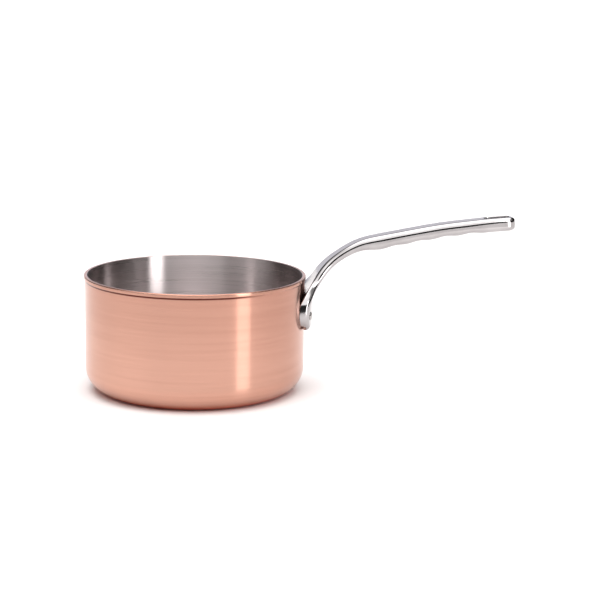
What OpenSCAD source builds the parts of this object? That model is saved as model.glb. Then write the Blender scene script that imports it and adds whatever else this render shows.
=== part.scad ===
// Copper saucepan with a long cast steel handle.
// Millimetres. The origin is the centre of the base, on the surface the pan stands on.
// +Z is up and the handle points along +X.

/* [Pan] */
// Outside diameter of the straight wall
body_d = 203; // [190:1:210]
// Height from the base to the top of the lip
body_h = 108.3; // [104:0.1:112]
// Outside radius between the wall and the base
corner_r = 22.5; // [16:0.5:26]
// Thickness of the copper sheet
copper_t = 1.8; // [1.5:0.1:2.5]
// Thickness of the bonded steel lining
lining_t = 0.25; // [0.2:0.05:0.5]

/* [Lip] */
// Height of the outward curve and the band above it
lip_h = 4.2; // [3.4:0.1:6]
// How far the lip stands out past the wall; the inside stays straight
lip_flare = 1; // [0.4:0.1:1.5]
// Height of the upright band at the top
lip_band_h = 3; // [2:0.1:3.2]
// Radius that rounds the outer top edge
lip_edge_r = 0.8; // [0.4:0.1:1.2]

/* [Flange] */
// Width of the flange across the wall
flange_w = 72; // [66:0.5:76]
// Height of the flange's lower edge above the base
flange_z = 62.2; // [60:0.1:64]
// Radius of the flange's two lower corners
flange_r = 14; // [10:0.5:15]
// Thickness of the flange
flange_t = 7.5; // [6.5:0.1:8]

/* [Grip] */
// Thickness of the grip over the finger ridges
grip_t = 12.7; // [12:0.1:13.2]
// Depth of the finger grooves
groove_depth = 1.1; // [0:0.1:2]
// Distance between the finger ridges
groove_pitch = 24.4; // [23:0.1:26]
// Length of the hanging slot
slot_l = 23.5; // [20:0.5:24]
// Width of the hanging slot
slot_w = 10; // [8:0.5:11]

/* [Rivets] */
// Diameter of the rivet shanks
shank_d = 6; // [5:0.1:7]
// Diameter of the domed outer heads
head_d = 7.8; // [7.4:0.1:9]
// Height of the domed outer heads
head_h = 2; // [1.4:0.1:2.4]
// Diameter of the flat heads inside the pan
inner_head_d = 13; // [10:0.5:15]
// Height of the flat heads inside the pan
inner_head_h = 1.6; // [1:0.1:2.2]
// Angle of each rivet from the handle's middle plane
rivet_angle = 14.5; // [13:0.5:15]
// Height of the rivets above the base
rivet_z = 74; // [72:0.5:77]

/* [Hidden] */

body_r = body_d / 2;
lining_out_r = body_r - copper_t;
lining_in_r = lining_out_r - lining_t;
lip_z = body_h - lip_h;
band_z = body_h - lip_band_h;
outer_face_r = body_r + flange_t;
// The heads' flat seats are cut a little below the flange's face
head_seat_r = outer_face_r - 0.4;
mid_x = body_r + flange_t / 2;

// Sides of the pan's round surfaces, and of the rivets, their bores and the slot's ends
PAN_SIDES = 180;
SMALL_SIDES = 48;
// Steps along the pan's corner, its lip's curve, its top edge and a rivet's dome
CORNER_STEPS = 20;
LIP_STEPS = 8;
TOP_STEPS = 5;
DOME_STEPS = 8;
// Length by which a cutter reaches past the surface that it cuts
past = 10;

// Smooth step from 0 to 1
function ease(u) = u <= 0 ? 0 : u >= 1 ? 1 : u * u * (3 - 2 * u);

// Points of an arc about [cx, cy], from angle a0 to a1
function arc(cx, cy, r, a0, a1, n) =
    [for (i = [0:n]) let (a = a0 + (a1 - a0) * i / n) [cx + r * cos(a), cy + r * sin(a)]];

function reversed(list) = [for (i = [len(list) - 1:-1:0]) list[i]];

// The outward curve under the lip
lip_curve = [for (i = [0:LIP_STEPS]) let (u = i / LIP_STEPS)
    [body_r + lip_flare * ease(u), lip_z + (band_z - lip_z) * u]];

// The pan's line at a depth inside its outer skin, from the axis round the corner to the wall
function skin(depth) = concat(
    [[0, depth]],
    arc(body_r - corner_r, corner_r, corner_r - depth, -90, 0, CORNER_STEPS));

// The same line, straight up to the top
function inner_skin(depth) = concat(skin(depth), [[body_r - depth, body_h]]);

module copper_shell() {
    lip_r = body_r + lip_flare;
    outside = concat(
        skin(0),
        lip_curve,
        arc(lip_r - lip_edge_r, body_h - lip_edge_r, lip_edge_r, 0, 90, TOP_STEPS));
    inside = inner_skin(copper_t);
    color("#c98468")
    difference() {
        rotate_extrude($fn = PAN_SIDES) polygon(concat(outside, reversed(inside)));
        rivet_bores();
    }
}

module steel_lining() {
    outside = inner_skin(copper_t);
    inside = inner_skin(copper_t + lining_t);
    color("#b9b4b0")
    difference() {
        rotate_extrude($fn = PAN_SIDES) polygon(concat(outside, reversed(inside)));
        rivet_bores();
    }
}

// Stations on the handle's middle line above the flange's rounded foot:
// [x, z, width, thickness, share of the half thickness that is rounded at the edges].
// The line runs up the wall, leans out into the stem and levels off into the grip.
STATIONS = [
    [mid_x, flange_z + flange_r, flange_w, flange_t, 0.87],
    [mid_x + 0.2, 81.5, flange_w - 1.4, flange_t + 0.4, 0.87],
    [mid_x + 0.5, 86, flange_w - 3.8, flange_t + 0.4, 0.87],
    [106.3, 91, 61.6, 7.4, 0.87],
    [107.2, 94.5, 54, 6.9, 0.88],
    [111.2, 102.1, 39.8, 6.8, 0.9],
    [117, 110.9, 32, 7.5, 0.92],
    [124.2, 118.9, 26, 7.7, 0.95],
    [132.8, 125.7, 23, 7.9, 0.95],
    [144, 132.4, 22.3, 8.6, 0.95],
    [155.5, 136.8, 22.5, 10.3, 0.9],
    [170, 139, 23, grip_t + 0.4, 0.8],
    [186, 142.3, 23, grip_t + 0.1, 0.8],
    [206, 146.2, 23, grip_t, 0.8],
    [230, 150.4, 22.5, grip_t, 0.8],
    [252, 153.2, 21.5, grip_t, 0.8],
    [272, 155.4, 21, grip_t, 0.8],
    [289.9, 156.9, 20, grip_t, 0.8]
];
// Rings between two stations, steps around an edge, and steps across a face
RINGS = 3;
EDGE_STEPS = 4;
FACE_STEPS = 8;
// Steps up the foot, and around the tip
FOOT_STEPS = 7;
TIP_STEPS = 6;
// Middle of the finger ridge next to the pan, and the number of grooves behind it
ridge_x = 169.6;
GROOVES = 4;
// Length over which the tip is rounded, the radius of its upper and lower edges,
// and the turn in degrees after which its flat end closes it
tip_l = 7;
tip_r = 3;
tip_turn = 87;
// Height and depth of the round on the foot's outer edge
foot_h = 4.5;
foot_thin = 6;
// Heights between which the handle stops following the wall's curve
hug_z = [82, 110];
// Depth by which the loft reaches into the wall before the wall is cut away
wall_bite = 0.4;
// Share by which the flange's edges are less rounded next to the wall
wall_edge = 0.75;
// Distance of the slot's far end from the pan's axis, and the heights between which it is cut
slot_end_x = 292.2;
slot_z = [120, 180];

function flat(p) = [p[0], p[1]];
function chord(i) = norm(flat(STATIONS[i + 1]) - flat(STATIONS[i]));
last = len(STATIONS) - 1;

// Change of a station's values per millimetre along the line
function slope(i) =
    i == 0 ? (STATIONS[1] - STATIONS[0]) / chord(0)
    : i == last ? (STATIONS[last] - STATIONS[last - 1]) / chord(last - 1)
    : (STATIONS[i + 1] - STATIONS[i - 1]) / (chord(i) + chord(i - 1));

// Smooth values at a share u of the way from station i to the next
function between(i, u) =
    STATIONS[i] * (1 - u * u * (3 - 2 * u))
    + STATIONS[i + 1] * u * u * (3 - 2 * u)
    + slope(i) * chord(i) * u * (1 - u) * (1 - u)
    - slope(i + 1) * chord(i) * u * u * (1 - u);

// The flange's foot, whose two corners are round, and whose outer edge rolls in to the wall
foot = [for (i = [0:FOOT_STEPS]) let (
    a = 90 - 90 * i / FOOT_STEPS,
    up = flange_r * (1 - sin(a)),
    short = max(0, 1 - up / foot_h),
    t = flange_t - foot_thin * (1 - sqrt(1 - short * short))) [
        body_r + t / 2,
        flange_z + up,
        flange_w - 2 * flange_r * (1 - cos(a)),
        t,
        STATIONS[0][4]]];

stem = [for (i = [0:last - 1]) for (k = [i == 0 ? 1 : 0:RINGS - 1]) between(i, k / RINGS)];

// The round tip, straight on from the last station
tip_dir = flat(slope(last)) / norm(flat(slope(last)));
tip = [for (i = [0:TIP_STEPS]) let (a = tip_turn * i / TIP_STEPS, end = STATIONS[last]) [
    end[0] + tip_l * sin(a) * tip_dir[0],
    end[1] + tip_l * sin(a) * tip_dir[1],
    end[2] - 2 * tip_l * (1 - cos(a)),
    end[3] - 2 * tip_r * (1 - cos(a)),
    end[4]]];

line = concat(foot, stem, tip);

// Unit direction of the line at ring i
function heading(i) =
    let (a = flat(line[max(i - 1, 0)]), b = flat(line[min(i + 1, len(line) - 1)]))
    (b - a) / norm(b - a);

// Outline of a ring as [across, away from the middle], wall side and top face towards minus
function section(w, t, share, hug) =
    let (
        r = share * t / 2,
        a = w / 2 - r,
        b = t / 2 - r,
        s = r * (1 - wall_edge * hug),
        c = w / 2 - s,
        d = t / 2 - s)
    concat(
        arc(a, b, r, 0, 90, EDGE_STEPS),
        [for (i = [1:FACE_STEPS - 1]) [a - 2 * a * i / FACE_STEPS, t / 2]],
        arc(-a, b, r, 90, 180, EDGE_STEPS),
        arc(-c, -d, s, 180, 270, EDGE_STEPS),
        [for (i = [1:FACE_STEPS - 1]) [-c + 2 * c * i / FACE_STEPS, -t / 2]],
        arc(c, -d, s, 270, 360, EDGE_STEPS));

// Depth of the finger grooves at a distance x from the pan's axis
function groove(x) =
    let (u = (x - ridge_x) / groove_pitch)
    u <= 0 || u >= GROOVES ? 0 : groove_depth * (1 - cos(360 * u)) / 2;

function ring(i) =
    let (
        p = line[i],
        d = heading(i),
        hug = 1 - ease((p[1] - hug_z[0]) / (hug_z[1] - hug_z[0])),
        cut = groove(p[0]))
    [for (q = section(p[2], p[3], p[4], hug))
        let (
            lift = q[1] > 0 ? -cut * 2 * q[1] / p[3] : wall_bite * pow(hug, 8) * 2 * q[1] / p[3],
            away = q[1] + lift,
            r = p[0] + away * d[1])
        [r - hug * (r - sqrt(r * r - q[0] * q[0])), q[0], p[1] - away * d[0]]];

module handle_loft() {
    rings = [for (i = [0:len(line) - 1]) ring(i)];
    n = len(rings[0]);
    m = len(rings);
    points = [for (loop = rings) for (p = loop) p];
    sides = [for (j = [0:m - 2]) for (i = [0:n - 1]) let (k = (i + 1) % n)
        each [[j * n + i, j * n + n + i, j * n + n + k], [j * n + i, j * n + n + k, j * n + k]]];
    first_end = [for (i = [0:n - 1]) i];
    last_end = [for (i = [n - 1:-1:0]) (m - 1) * n + i];
    polyhedron(points, concat([first_end], sides, [last_end]));
}

// Places its child on a rivet's axis, with +Z pointing out of the pan. side is 1 or -1.
module on_rivet(side) {
    rotate([0, 0, side * rivet_angle])
        translate([0, 0, rivet_z])
            rotate([0, 90, 0])
                children();
}

module rivet_bores() {
    for (side = [1, -1])
        on_rivet(side)
            cylinder(d = shank_d, h = outer_face_r + past, $fn = SMALL_SIDES);
}

// Flat seats for the domed heads
module head_seats() {
    for (side = [1, -1])
        on_rivet(side)
            translate([0, 0, head_seat_r])
                cylinder(d = head_d, h = past, $fn = SMALL_SIDES);
}

module hanging_slot() {
    far = slot_end_x - slot_w / 2;
    near = slot_end_x - slot_l + slot_w / 2;
    for (x = [near, far])
        translate([x, 0, slot_z[0]])
            cylinder(d = slot_w, h = slot_z[1] - slot_z[0], $fn = SMALL_SIDES);
    translate([near, -slot_w / 2, slot_z[0]])
        cube([far - near, slot_w, slot_z[1] - slot_z[0]]);
}

module handle() {
    color("#c8c6c8")
    difference() {
        handle_loft();
        cylinder(r = body_r, h = lip_z, $fn = PAN_SIDES);
        rivet_bores();
        head_seats();
        hanging_slot();
    }
}

module rivet(side) {
    dome_r = (head_d * head_d / 4 + head_h * head_h) / (2 * head_h);
    dome_a = asin(head_d / 2 / dome_r);
    inner_end = lining_in_r - inner_head_h;
    shank_start = inner_end + inner_head_h / 3;
    dome = arc(0, head_h - dome_r, dome_r, 90 - dome_a, 90, DOME_STEPS);
    color("#d2cfcd") {
        on_rivet(side) {
            translate([0, 0, shank_start])
                cylinder(d = shank_d, h = head_seat_r - shank_start, $fn = SMALL_SIDES);
            translate([0, 0, head_seat_r])
                rotate_extrude($fn = SMALL_SIDES)
                    polygon(concat([[0, 0]], dome));
        }
        intersection() {
            on_rivet(side)
                translate([0, 0, inner_end])
                    cylinder(d = inner_head_d, h = past, $fn = SMALL_SIDES);
            cylinder(r = lining_in_r, h = lip_z, $fn = PAN_SIDES);
        }
    }
}

module rivet_left() {
    rivet(1);
}

module rivet_right() {
    rivet(-1);
}

copper_shell();
steel_lining();
handle();
rivet_left();
rivet_right();
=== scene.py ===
import math

import bmesh
import bpy
import numpy as np
from mathutils import Matrix, Vector


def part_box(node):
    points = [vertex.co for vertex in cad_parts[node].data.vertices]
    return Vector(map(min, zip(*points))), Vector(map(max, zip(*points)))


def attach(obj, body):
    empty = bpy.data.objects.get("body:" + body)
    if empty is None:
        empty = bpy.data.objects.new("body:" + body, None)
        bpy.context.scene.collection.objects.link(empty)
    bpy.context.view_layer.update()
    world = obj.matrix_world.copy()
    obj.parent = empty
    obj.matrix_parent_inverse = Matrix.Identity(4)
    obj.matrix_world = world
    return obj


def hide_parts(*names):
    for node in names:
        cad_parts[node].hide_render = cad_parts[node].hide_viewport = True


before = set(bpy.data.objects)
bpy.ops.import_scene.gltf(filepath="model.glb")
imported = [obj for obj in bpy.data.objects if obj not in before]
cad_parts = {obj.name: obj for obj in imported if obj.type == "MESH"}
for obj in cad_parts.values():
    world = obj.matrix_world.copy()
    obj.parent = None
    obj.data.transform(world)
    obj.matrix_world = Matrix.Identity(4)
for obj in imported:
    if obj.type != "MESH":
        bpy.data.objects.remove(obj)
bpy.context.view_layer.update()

MM = 0.001


# ---------------------------------------------------------------- camera and studio

# Where the camera stands, what it looks at, and how far it is turned about its own line of sight
EYE = Vector((-0.00939, -1.53112, 0.39204))
AIM = Vector((0.09721, -0.00671, 0.08485))
LEAN = math.radians(0.874)
LENS = 100.65


def make_camera():
    data = bpy.data.cameras.new("camera")
    data.lens = LENS
    data.clip_end = 200
    camera = bpy.data.objects.new("camera", data)
    bpy.context.scene.collection.objects.link(camera)
    turn = (AIM - EYE).to_track_quat("-Z", "Y").to_matrix()
    camera.matrix_world = Matrix.Translation(EYE) @ (turn @ Matrix.Rotation(LEAN, 3, "Z")).to_4x4()
    bpy.context.scene.camera = camera


class Wire:
    """One output of a node. Sums written with it add their Math nodes."""

    def __init__(self, nodes, socket):
        self.nodes = nodes
        self.socket = socket

    def maths(self, operation, *values):
        return self.nodes.add("ShaderNodeMath", {"operation": operation}, dict(enumerate(values)))

    def __add__(self, other):
        return self.maths("ADD", self, other)

    def __mul__(self, other):
        return self.maths("MULTIPLY", self, other)

    def __pow__(self, other):
        return self.maths("POWER", self, other)

    __radd__ = __add__
    __rmul__ = __mul__


class Nodes:
    """The node tree of a material or of the world."""

    def __init__(self, owner):
        owner.use_nodes = True
        self.tree = owner.node_tree
        self.tree.nodes.clear()

    def add(self, kind, settings=None, inputs=None, output=0):
        node = self.tree.nodes.new(kind)
        for name, value in (settings or {}).items():
            setattr(node, name, value)
        for name, value in (inputs or {}).items():
            if isinstance(value, Wire):
                self.tree.links.new(value.socket, node.inputs[name])
            else:
                node.inputs[name].default_value = value
        return Wire(self, node.outputs[output] if node.outputs else None)

    def split(self, vector):
        first = self.add("ShaderNodeSeparateXYZ", None, {0: vector})
        return [Wire(self, socket) for socket in first.socket.node.outputs]

    def blend(self, share, a, b):
        return self.add("ShaderNodeMix", {"data_type": "RGBA"}, {0: share, 6: a, 7: b}, output=2)

    def ramp(self, value, low, high):
        """A smooth rise from 0 where the value is low to 1 where it is high"""
        settings = {"interpolation_type": "SMOOTHSTEP"}
        return self.add("ShaderNodeMapRange", settings, {0: value, 1: low, 2: high, 3: 0, 4: 1})

    def noise(self, vector, scale, detail, roughness=0.5):
        inputs = {"Vector": vector, "Scale": scale, "Detail": detail, "Roughness": roughness}
        return self.add("ShaderNodeTexNoise", None, inputs)

    def bump(self, height, strength, distance):
        inputs = {"Strength": strength, "Distance": distance, "Height": height}
        return self.add("ShaderNodeBump", None, inputs)

    def place(self):
        return self.add("ShaderNodeTexCoord", output=3)


# Light of the room: white overhead, a bright screen high in front, a grey one behind the pan
# that is darker towards its top, dimmer sides, and darkness low in front
ABOVE_LEFT = (3.7, 3.7, 3.7, 1)
ABOVE_RIGHT = (2.9, 2.9, 2.9, 1)
FRONT = (2.1, 2.1, 2.1, 1)
FRONT_LEFT = (0.9, 0.9, 0.9, 1)
FRONT_RIGHT = (0.45, 0.45, 0.45, 1)
FRONT_LOW = (0.04, 0.04, 0.04, 1)
FAR_LEFT = (0.45, 0.43, 0.43, 1)
BACK = (0.86, 0.85, 0.92, 1)
BACK_TOP = (0.45, 0.45, 0.50, 1)
BACK_SIDES = (0.03, 0.03, 0.03, 1)


def make_room():
    world = bpy.data.worlds.new("room")
    bpy.context.scene.world = world
    room = Nodes(world)
    # x, y, z is the direction looked in: x to the right, y away from the camera, z up
    x, y, z = room.split(room.add("ShaderNodeTexCoord", output=0))
    low = room.blend(room.ramp(x, -0.55, -0.9), FRONT_LOW, FAR_LEFT)
    sides = room.blend(room.ramp(x, -0.3, 0.3), FRONT_LEFT, FRONT_RIGHT)
    high = room.blend(room.ramp(x * x, 0.30, 0.14), sides, FRONT)
    ahead = room.blend(room.ramp(z, 0.45, 0.51), low, high)
    screen = room.blend(room.ramp(z, 0.1, 0.7), BACK, BACK_TOP)
    behind = room.blend(room.ramp(x * x, 0.16, 0.07), BACK_SIDES, screen)
    around = room.blend(room.ramp(y, 0.25, -0.15), behind, ahead)
    above = room.blend(room.ramp(x, -0.3, 0.6), ABOVE_LEFT, ABOVE_RIGHT)
    light = room.blend(room.ramp(z + y * 0.15, 0.80, 0.94), around, above)
    background = room.add("ShaderNodeBackground", None, {"Color": light, "Strength": 1.0})
    room.add("ShaderNodeOutputWorld", None, {"Surface": background})


# An upright strip of light in front of the pan on its right: its middle, what it faces, its size
# in metres and its power
SOFTBOX_PLACE = (0.497, -0.463, 0.31)
SOFTBOX_AIM = (0, 0, 0.10)
SOFTBOX_SIZE = (0.18, 0.62)
SOFTBOX_WATTS = 1.6


def make_softbox():
    data = bpy.data.lights.new("tall_softbox", "AREA")
    data.shape = "RECTANGLE"
    data.size, data.size_y = SOFTBOX_SIZE
    data.energy = SOFTBOX_WATTS
    light = bpy.data.objects.new("tall_softbox", data)
    bpy.context.scene.collection.objects.link(light)
    way = Vector(SOFTBOX_AIM) - Vector(SOFTBOX_PLACE)
    turn = way.to_track_quat("-Z", "Y").to_matrix().to_4x4()
    light.matrix_world = Matrix.Translation(SOFTBOX_PLACE) @ turn


FLOOR_HALF_SIDE = 60


def make_object(name, bm, finish, smooth_angle=35):
    mesh = bpy.data.meshes.new(name)
    bm.to_mesh(mesh)
    bm.free()
    mesh.shade_smooth()
    mesh.set_sharp_from_angle(angle=math.radians(smooth_angle))
    mesh.materials.append(finish)
    piece = bpy.data.objects.new(name, mesh)
    bpy.context.scene.collection.objects.link(piece)
    return piece


def make_floor(finish):
    bm = bmesh.new()
    bmesh.ops.create_grid(bm, x_segments=1, y_segments=1, size=FLOOR_HALF_SIDE)
    floor = make_object("floor", bm, finish)


# ---------------------------------------------------------------- finishes

# Base colours, each metal's darker and paler shade; the copper's paler shade also carries painted
# light
COPPER = (0.475, 0.245, 0.182, 1)
COPPER_PALE = (0.69, 0.395, 0.302, 1)
# painted shade: the dark reflection in the groove under the lip
COPPER_PAINTED_LIP_SHADE = (0.10, 0.025, 0.02, 1)
# painted reflection: a redder copper at the foot of the wall
COPPER_FOOT_REFLECTION = (0.60, 0.14, 0.075, 1)
STEEL_LINING = (0.60, 0.54, 0.535, 1)
STEEL_LINING_PALE = (0.68, 0.612, 0.608, 1)
HANDLE_STEEL = (0.385, 0.365, 0.365, 1)
HANDLE_STEEL_PALE = (0.425, 0.405, 0.405, 1)
RIVET_STEEL = (0.40, 0.38, 0.36, 1)
FLOOR = (0.96, 0.935, 0.93, 1)
FLOOR_PALE = (0.975, 0.95, 0.945, 1)

# Brushed lines per metre across them, and how fast they change along their length
FINE_LINES = 2600
BROAD_LINES = 420
ALONG_LINES = 7

# Heights in metres: where painted light makes the copper paler downwards, the painted dark reflection
# in the groove under the lip as depths below the top, and the foot of the wall where a painted red
# reflection is laid in
PAINTED_LIGHT_HEIGHTS = (0.095, 0.03)
LIP_SHADE_BELOW = (0.0054, 0.0044)
LIP_SHADE_ABOVE = (0.0029, 0.0035)
FOOT_REFLECTION_HEIGHTS = (0.008, 0.002)


def surface(nodes, color, roughness, normal, **fixed):
    inputs = {"Base Color": color, "Roughness": roughness, "Metallic": 1.0, "Normal": normal}
    inputs.update({name.replace("_", " "): value for name, value in fixed.items()})
    shader = nodes.add("ShaderNodeBsdfPrincipled", None, inputs)
    nodes.add("ShaderNodeOutputMaterial", None, {"Surface": shader})


def brushing(nodes, x, y, z):
    """Fine and broad lines that run round the pan's axis, on the wall, the corner and the base"""
    across = z + (x * x + y * y) ** 0.5
    along = {0: x * ALONG_LINES, 1: y * ALONG_LINES}
    fine = nodes.add("ShaderNodeCombineXYZ", None, {**along, 2: across * FINE_LINES})
    broad = nodes.add("ShaderNodeCombineXYZ", None, {**along, 2: across * BROAD_LINES})
    return nodes.noise(fine, 1.0, 3.0, 0.6), nodes.noise(broad, 1.0, 2.0)


def brushed(nodes, color, fine, broad, bump, swing, least):
    """Metal brushed round the pan: its gloss spreads up and down and stays narrow sideways"""
    surface(nodes, color, fine * swing + broad * 0.02 + least, nodes.bump(fine, bump, 0.0002),
            Anisotropic=1.0, Anisotropic_Rotation=0.25)


def copper_finish():
    finish = bpy.data.materials.new("satin_copper")
    nodes = Nodes(finish)
    x, y, z = nodes.split(nodes.place())
    fine, broad = brushing(nodes, x, y, z)
    lines = nodes.ramp(fine * 0.4 + broad * 0.6, 0.35, 0.65) * 0.24
    # painted light: the copper is paler downwards and towards its left, where more light falls; the
    # brushed lines above are its own streaks
    painted_light_low = nodes.ramp(z, *PAINTED_LIGHT_HEIGHTS) * 0.36
    streaks_and_painted_light = lines + painted_light_low + nodes.ramp(x, 0.10, -0.10) * 0.4
    color = nodes.blend(streaks_and_painted_light, COPPER, COPPER_PALE)
    # painted shade: a dark reflection painted into the groove under the lip, fading out towards the
    # right
    below = nodes.ramp(z, *(TOP * MM - depth for depth in LIP_SHADE_BELOW))
    above = nodes.ramp(z, *(TOP * MM - depth for depth in LIP_SHADE_ABOVE))
    painted_lip_shade = below * above * nodes.ramp(x, 0.07, 0.03)
    color = nodes.blend(painted_lip_shade, color, COPPER_PAINTED_LIP_SHADE)
    # painted reflection: the foot of the wall turns redder, standing in for the copper's glow on the
    # shaded floor that it sees
    color = nodes.blend(nodes.ramp(z, *FOOT_REFLECTION_HEIGHTS), color, COPPER_FOOT_REFLECTION)
    brushed(nodes, color, fine, broad, bump=0.03, swing=0.06, least=0.20)
    return finish


def lining_finish():
    finish = bpy.data.materials.new("brushed_lining")
    nodes = Nodes(finish)
    fine, broad = brushing(nodes, *nodes.split(nodes.place()))
    share = nodes.ramp(fine * 0.6 + broad * 0.4, 0.35, 0.65)
    color = nodes.blend(share, STEEL_LINING, STEEL_LINING_PALE)
    brushed(nodes, color, fine, broad, bump=0.05, swing=0.04, least=0.25)
    return finish


def polished_finish(name, dark, streaks_and_painted_light, least):
    """Cast steel, polished: faint clouds and grain in its gloss and a slow wave in its skin"""
    finish = bpy.data.materials.new(name)
    nodes = Nodes(finish)
    place = nodes.place()
    cloud = nodes.noise(place, 60.0, 3.0)
    grain = nodes.noise(place, 900.0, 2.0)
    color = nodes.blend(nodes.ramp(cloud, 0.35, 0.65), dark, streaks_and_painted_light)
    wave = nodes.bump(nodes.noise(place, 35.0, 1.0), 0.04, 0.001)
    surface(nodes, color, cloud * 0.04 + grain * 0.04 + least, wave)
    return finish


def floor_finish():
    finish = bpy.data.materials.new("white_floor")
    nodes = Nodes(finish)
    white = nodes.blend(nodes.noise(nodes.place(), 40.0, 2.0), FLOOR, FLOOR_PALE)
    shader = nodes.add("ShaderNodeBsdfDiffuse", None, {"Color": white})
    nodes.add("ShaderNodeOutputMaterial", None, {"Surface": shader})
    return finish


# ---------------------------------------------------------------- turned pieces

SHELL_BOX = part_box("copper_shell")
LINING_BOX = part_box("steel_lining")

# Millimetres: the wall's outer radius, the sheets' thicknesses and the heights of the lip
TOP = SHELL_BOX[1].z / MM
LIP_R = SHELL_BOX[1].y / MM
FLARE = 1
WALL_R = LIP_R - FLARE
COPPER_T = LINING_BOX[0].z / MM
LINING_T = 0.25
CORNER_R = 22.5
CORNER_STEPS = 28
LIP_START = TOP - 4
LIP_END = TOP - 3.2
PAN_SIDES = 288


def turned(profile, sides, place=None):
    """Rounds the corners of a profile of [radius, height, rounding, steps] and turns it about Z."""
    bm = bmesh.new()
    corners = [bm.verts.new((r * MM, 0, z * MM)) for r, z, rounding, steps in profile]
    for a, b in zip(corners, corners[1:]):
        bm.edges.new((a, b))
    for corner, (r, z, rounding, steps) in zip(corners, profile):
        if rounding:
            bmesh.ops.bevel(bm, geom=[corner], offset=rounding * MM, affect="VERTICES",
                            segments=steps, profile=0.5, material=-1)
    bmesh.ops.spin(bm, geom=bm.verts[:] + bm.edges[:], cent=(0, 0, 0), axis=(0, 0, 1),
                   angle=math.tau, steps=sides, use_merge=True)
    bmesh.ops.remove_doubles(bm, verts=bm.verts[:], dist=1e-6)
    bmesh.ops.recalc_face_normals(bm, faces=bm.faces[:])
    if place:
        bmesh.ops.transform(bm, matrix=place, verts=bm.verts[:])
    return bm


def skin(depth, *top):
    """The pan's line at a depth inside its outer skin, from the axis round the corner to the top"""
    return [[0, depth, 0, 0], [WALL_R - depth, depth, CORNER_R - depth, CORNER_STEPS], *top]


def make_shell(finish):
    lip = [WALL_R, LIP_START, 0.4, 4], [LIP_R, LIP_END, 0.4, 4], [LIP_R, TOP, 0.8, 6]
    line = skin(0, *lip) + skin(COPPER_T, [WALL_R - COPPER_T, TOP, 0, 0])[::-1]
    return make_object("copper_pan", turned(line, PAN_SIDES), finish)


def make_lining(finish):
    depth = COPPER_T + LINING_T
    line = (skin(COPPER_T, [WALL_R - COPPER_T, TOP, 0, 0])
            + skin(depth, [WALL_R - depth, TOP, 0.1, 2])[::-1])
    return make_object("pan_lining", turned(line, PAN_SIDES), finish)


# Rivets: their angle from the handle's middle plane, their height and the sides of their rounds
RIVET_ANGLE = math.radians(14.5)
RIVET_Z = 74 * MM
RIVET_SIDES = 64


def make_rivet(name, side, finish):
    """A rivet with a low dome outside and a flat head inside, as [radius, distance from the axis]"""
    profile = [
        [0, 97.85, 0, 0],
        [6.5, 97.85, 0.6, 4],
        [6.5, 99.7, 0, 0],
        [3, 99.7, 0, 0],
        [3, 108.6, 0, 0],
        [3.9, 108.6, 0, 0],
        [3.9, 109.35, 0.15, 2],
        [2.9, 110.2, 0.6, 4],
        [1.4, 110.6, 0.6, 4],
        [0, 110.6, 0, 0],
    ]
    turn = Matrix.Rotation(side * RIVET_ANGLE, 4, "Z") @ Matrix.Rotation(math.pi / 2, 4, "Y")
    place = Matrix.Translation((0, 0, RIVET_Z)) @ turn
    return make_object(name, turned(profile, RIVET_SIDES, place), finish)


# ---------------------------------------------------------------- handle

# Millimetres: the flange, its foot's rounding and the grip's thickness
HANDLE_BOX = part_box("handle")
FLANGE_W = (HANDLE_BOX[1].y - HANDLE_BOX[0].y) / MM
FLANGE_Z = HANDLE_BOX[0].z / MM
FLANGE_R = 14
FLANGE_T = 7.5
FOOT_H = 4.5
MID_X = WALL_R + FLANGE_T / 2
GRIP_T = 12.7

# Along the handle's middle line above the flange's foot, in millimetres:
# [x, z, width, thickness, share of the half thickness that is rounded at the edges]
STATIONS = np.array([
    [MID_X, FLANGE_Z + FLANGE_R, FLANGE_W, FLANGE_T, 0.87],
    [MID_X + 0.2, 81.5, FLANGE_W - 1.4, FLANGE_T + 0.4, 0.87],
    [MID_X + 0.5, 86, FLANGE_W - 3.8, FLANGE_T + 0.4, 0.87],
    [106.3, 91, 61.6, 7.4, 0.87],
    [107.2, 94.5, 54, 6.9, 0.88],
    [111.2, 102.1, 39.8, 6.8, 0.9],
    [117, 110.9, 32, 7.5, 0.92],
    [124.2, 118.9, 26, 7.7, 0.95],
    [132.8, 125.7, 23, 7.9, 0.95],
    [144, 132.4, 22.3, 8.6, 0.95],
    [155.5, 136.8, 22.5, 10.3, 0.9],
    [170, 139, 23, GRIP_T + 0.4, 0.8],
    [186, 142.3, 23, GRIP_T + 0.1, 0.8],
    [206, 146.2, 23, GRIP_T, 0.8],
    [230, 150.4, 22.5, GRIP_T, 0.8],
    [252, 153.2, 21.5, GRIP_T, 0.8],
    [272, 155.4, 21, GRIP_T, 0.73],
    [289.9, 156.9, 20, GRIP_T, 0.69],
])

# Millimetres: where the finger grooves begin, their pitch, number and depth; the tip's rounding in
# plan and upright; the heights between which the handle leaves the wall, how far it bites into it
# and by which share its edges there are sharper; and the hanging slot
RIDGE_X = 169.6
GROOVE_PITCH = 24.4
GROOVES = 4
GROOVE_DEPTH = 1.1
TIP_L = 7
TIP_R = 3
HUG_Z = (82, 110)
WALL_BITE = 0.4
WALL_EDGE = 0.75
SLOT_W = 10
SLOT_X = (273.7, 287.2)

# The handle's mesh: rings in its foot, from there to the slot and along the slot, steps round each
# of a ring's four edges, and the turn in degrees between two columns of a flat face
FOOT_RINGS = 20
BODY_RINGS = 96
SLOT_RINGS = 7
EDGE_STEPS = 8
FACE_STEP = 10


def ease(u):
    u = min(max(u, 0), 1)
    return u * u * (3 - 2 * u)


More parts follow.
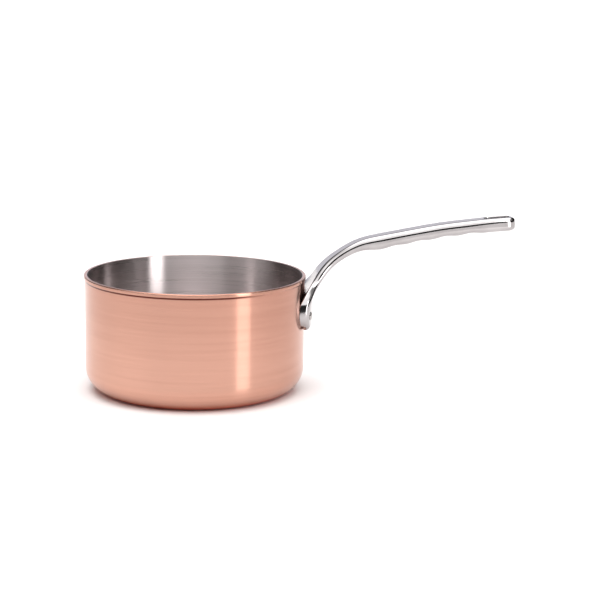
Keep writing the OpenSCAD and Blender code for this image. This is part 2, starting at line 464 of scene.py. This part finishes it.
class Line:
    """A smooth line through the stations, by the distance along it"""

    def __init__(self, stations):
        steps = np.linalg.norm(np.diff(stations[:, :2], axis=0), axis=1)
        self.at = np.concatenate([[0], np.cumsum(steps)])
        self.values = stations
        count = len(stations)
        system = np.eye(count)
        bend = np.zeros(stations.shape)
        slopes = np.diff(stations, axis=0) / steps[:, None]
        for i in range(1, count - 1):
            system[i, i - 1:i + 2] = steps[i - 1], 2 * (steps[i - 1] + steps[i]), steps[i]
            bend[i] = 6 * (slopes[i] - slopes[i - 1])
        self.bend = np.linalg.solve(system, bend)

    def __call__(self, distance):
        i = int(np.clip(np.searchsorted(self.at, distance) - 1, 0, len(self.at) - 2))
        step = self.at[i + 1] - self.at[i]
        b = (distance - self.at[i]) / step
        a = 1 - b
        return (a * self.values[i] + b * self.values[i + 1]
                + ((a ** 3 - a) * self.bend[i] + (b ** 3 - b) * self.bend[i + 1]) * step ** 2 / 6)


LINE = Line(STATIONS)
LAST = LINE.at[-1]


def station(distance):
    """Station values anywhere: below 0 in the round foot, past the last one in the round tip"""
    if distance < 0:
        up = FLANGE_R + distance
        cosine = math.sqrt(max(0, 1 - (1 - up / FLANGE_R) ** 2))
        short = max(0, 1 - up / FOOT_H)
        thickness = FLANGE_T * math.sqrt(max(0, 1 - short * short))
        width = FLANGE_W - 2 * FLANGE_R * (1 - cosine)
        return np.array([WALL_R + thickness / 2, FLANGE_Z + up, width, thickness, STATIONS[0][4]])
    if distance > LAST:
        past = min((distance - LAST) / TIP_L, 1)
        cosine = math.sqrt(1 - past * past)
        end = LINE(LAST)
        way = end - LINE(LAST - 0.5)
        way = way[:2] / np.linalg.norm(way[:2])
        return np.concatenate([
            end[:2] + past * TIP_L * way,
            [end[2] - 2 * TIP_L * (1 - cosine), end[3] - 2 * TIP_R * (1 - cosine), end[4]]])
    return LINE(distance)


def half_section(width, thickness, r, reach):
    """Half the outline of a ring, as [across, away from the middle]"""
    a = width / 2 - r
    b = thickness / 2 - r
    reach = min(reach or 0.9 * a, 0.96 * a)
    turn = [math.radians(90 * i / EDGE_STEPS) for i in range(EDGE_STEPS + 1)]
    across = [math.radians(i) for i in range(0, 181, FACE_STEP)]
    return ([[a + r * math.cos(t), b + r * math.sin(t)] for t in turn]
            + [[reach * math.cos(t), b + r] for t in across]
            + [[-a - r * math.sin(t), b + r * math.cos(t)] for t in turn])


def section(values, hug, reach=None):
    """Outline of a ring: its outer and under side, then its wall side and top"""
    width, thickness, share = values[2:]
    r = share * thickness / 2
    wall_side = half_section(width, thickness, r * (1 - WALL_EDGE * hug), reach)
    return half_section(width, thickness, r, reach) + [[-p, -q] for p, q in wall_side]


FACE_FIRST = EDGE_STEPS + 1
FACE_COUNT = 180 // FACE_STEP + 1
HALF = 2 * (EDGE_STEPS + 1) + FACE_COUNT


def face_step(column):
    """A column's step across its flat face, or None on the edges"""
    step = column % HALF - FACE_FIRST
    return step if 0 <= step < FACE_COUNT else None


def slot_share(column):
    """How far round the slot's end a column lies: 1 in the middle of a flat face, 0 off it"""
    step = face_step(column)
    return 0 if step is None else math.sin(math.radians(step * FACE_STEP))


def groove(x):
    u = (x - RIDGE_X) / GROOVE_PITCH
    return GROOVE_DEPTH * (1 - math.cos(math.tau * u)) / 2 if 0 < u < GROOVES else 0


def handle_point(distance, column, bend=0, reach=None):
    """A point of the handle's skin. bend moves the columns of the flat faces along the handle."""
    distance += bend * slot_share(column)
    values = station(distance)
    way = station(distance + 0.05)[:2] - station(distance - 0.05)[:2]
    way /= np.linalg.norm(way)
    x, z, width, thickness = values[:4]
    hug = 1 - ease((z - HUG_Z[0]) / (HUG_Z[1] - HUG_Z[0]))
    across, away = section(values, hug, reach)[column]
    half = max(thickness / 2, 1e-6)
    if away > 0:
        away -= groove(x) * away / half
    else:
        away += WALL_BITE * hug ** 8 * away / half
    r = x + away * way[1]
    return Vector((r - hug * (r - math.sqrt(r * r - across * across)), across, z - away * way[0])) * MM


def handle_rings():
    """[distance, bend, reach] of each ring. The slot's ends are rings bent into half circles."""
    foot = [-FLANGE_R * math.cos(math.radians(90 * i / FOOT_RINGS)) for i in range(FOOT_RINGS)]
    near = float(np.interp(SLOT_X[0], STATIONS[:, 0], LINE.at))
    far = float(np.interp(SLOT_X[1], STATIONS[:, 0], LINE.at))
    r = SLOT_W / 2
    body = list(np.linspace(0, near - r - 6, BODY_RINGS))
    rings = [[d, 0, None] for d in foot + body]
    rings += [[near - 8.5, -0.6, None], [near - 6, -1.6, r], [near - 3.6, -2.7, r],
              [near - 1.6, -3.9, r], [near, -r, r]]
    rings += [[d, 0, r] for d in np.linspace(near, far, SLOT_RINGS)[1:-1]]
    rings += [[far, r, r], [LAST - 0.4, 3.3, r], [LAST + 1.6, 2.0, r], [LAST + 3.2, 1.1, None],
              [LAST + 4.5, 0.5, None], [LAST + 5.5, 0.15, None], [LAST + 6.2, 0, None],
              [LAST + 6.65, 0, None], [LAST + 6.9, 0, None], [LAST + 6.985, 0, None]]
    return rings


def make_handle(finish):
    bm = bmesh.new()
    column = bm.verts.layers.int.new("column")
    ring_no = bm.verts.layers.int.new("ring")
    rings = handle_rings()
    circle = bmesh.ops.create_circle(bm, segments=2 * HALF, radius=0.01)["verts"]
    for number, vertex in enumerate(circle):
        vertex[column] = number
    edges = bm.edges[:]
    for number, (distance, bend, reach) in enumerate(rings):
        if number:
            made = bmesh.ops.extrude_edge_only(bm, edges=edges)["geom"]
            circle = [g for g in made if isinstance(g, bmesh.types.BMVert)]
            edges = [g for g in made if isinstance(g, bmesh.types.BMEdge)
                     and all(v in circle for v in g.verts)]
        for vertex in circle:
            vertex[ring_no] = number
            vertex.co = handle_point(distance, vertex[column], bend, reach)
    bmesh.ops.edgeloop_fill(bm, edges=edges)
    ends = [n for n, ring in enumerate(rings) if abs(ring[1]) == SLOT_W / 2]

    def in_slot(vertex):
        return (face_step(vertex[column]) is not None
                and ends[0] <= vertex[ring_no] <= ends[1])

    gone = [f for f in bm.faces if all(in_slot(v) for v in f.verts)]
    bmesh.ops.delete(bm, geom=gone, context="FACES")
    rim = [e for e in bm.edges if e.is_boundary and all(in_slot(v) for v in e.verts)]
    bmesh.ops.bridge_loops(bm, edges=rim)
    bmesh.ops.bevel(bm, geom=rim, offset=0.5 * MM, affect="EDGES", segments=3, profile=0.5,
                    material=-1)
    bmesh.ops.remove_doubles(bm, verts=bm.verts[:], dist=2e-6)
    bmesh.ops.recalc_face_normals(bm, faces=bm.faces[:])
    return make_object("cast_handle", bm, finish, 50)


# ---------------------------------------------------------------- the pan

def place(piece, slot, *nodes):
    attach(piece, "root")
    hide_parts(*nodes)


make_camera()
make_room()
make_softbox()
bpy.context.scene.view_settings.view_transform = "Standard"
make_floor(floor_finish())

steel = polished_finish("polished_steel", HANDLE_STEEL, HANDLE_STEEL_PALE, 0.06)
rivet_steel = polished_finish("rivet_steel", RIVET_STEEL, HANDLE_STEEL, 0.14)
place(make_shell(copper_finish()), "copper", "copper_shell")
place(make_lining(lining_finish()), "lining", "steel_lining")
place(make_handle(steel), "handle", "handle")
place(make_rivet("left_rivet", 1, rivet_steel), "rivet", "rivet_left")
place(make_rivet("right_rivet", -1, rivet_steel), "rivet", "rivet_right")
